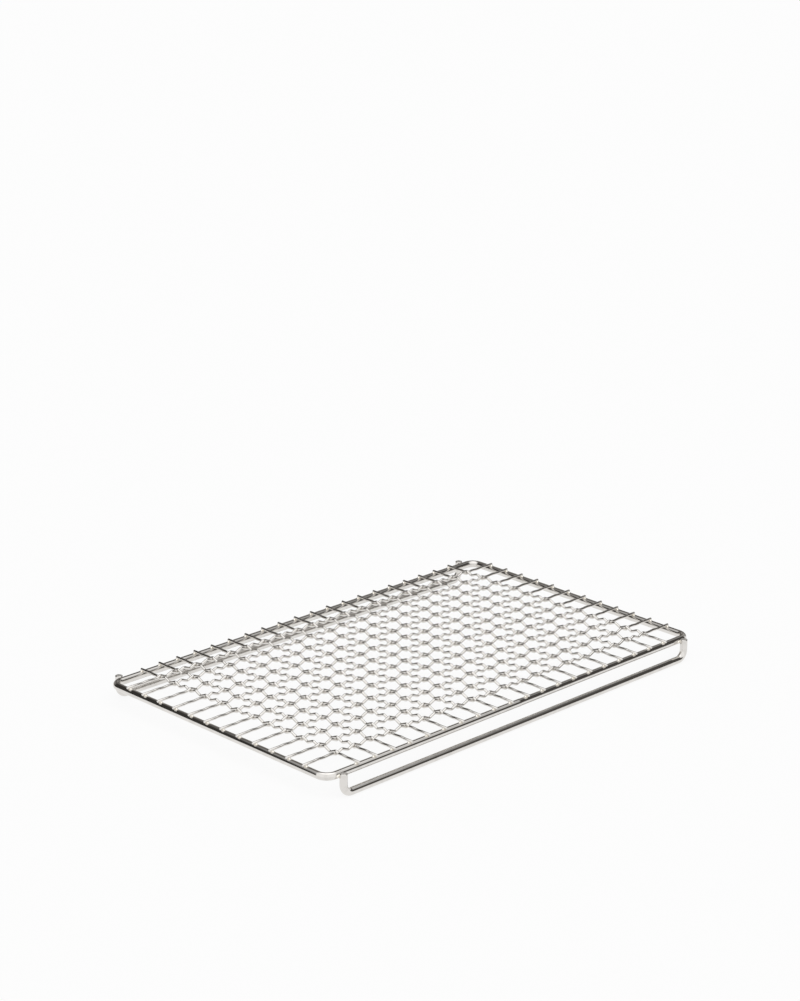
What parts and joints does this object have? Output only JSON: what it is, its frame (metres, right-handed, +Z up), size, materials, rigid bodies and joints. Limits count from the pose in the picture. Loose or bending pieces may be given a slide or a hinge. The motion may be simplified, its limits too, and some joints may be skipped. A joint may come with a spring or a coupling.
{
  "type": "wire cooling rack",
  "caption": "Low rectangular cooling rack: crimped woven wire mesh welded on a round wire frame, standing on two U-shaped wire runners.",
  "frame": {"origin": "on the table under the middle of the rack", "axes": "+X along the long wires and the runners, +Y across them from the front to the rear, +Z up"},
  "size_m": [0.34, 0.216, 0.0191],
  "materials": {
    "frame_wire": "bright polished stainless steel, round wire 5.0 mm",
    "mesh_wire": "bright polished stainless steel, round wire 1.8 mm"
  },
  "bodies": {
    "root": {"frame_ring": "frame_wire", "front_runner": "frame_wire", "rear_runner": "frame_wire", "leg_welds": "frame_wire", "long_wire_01": "mesh_wire", "long_wire_02": "mesh_wire", "long_wire_03": "mesh_wire", "long_wire_04": "mesh_wire", "long_wire_05": "mesh_wire", "long_wire_06": "mesh_wire", "long_wire_07": "mesh_wire", "long_wire_08": "mesh_wire", "long_wire_09": "mesh_wire", "long_wire_10": "mesh_wire", "long_wire_11": "mesh_wire", "long_wire_12": "mesh_wire", "cross_wire_01": "mesh_wire", "cross_wire_02": "mesh_wire", "cross_wire_03": "mesh_wire", "cross_wire_04": "mesh_wire", "cross_wire_05": "mesh_wire", "cross_wire_06": "mesh_wire", "cross_wire_07": "mesh_wire", "cross_wire_08": "mesh_wire", "cross_wire_09": "mesh_wire", "cross_wire_10": "mesh_wire", "cross_wire_11": "mesh_wire", "cross_wire_12": "mesh_wire", "cross_wire_13": "mesh_wire", "cross_wire_14": "mesh_wire", "cross_wire_15": "mesh_wire", "cross_wire_16": "mesh_wire", "cross_wire_17": "mesh_wire", "cross_wire_18": "mesh_wire", "cross_wire_19": "mesh_wire", "cross_wire_20": "mesh_wire"}
  },
  "joints": []
}
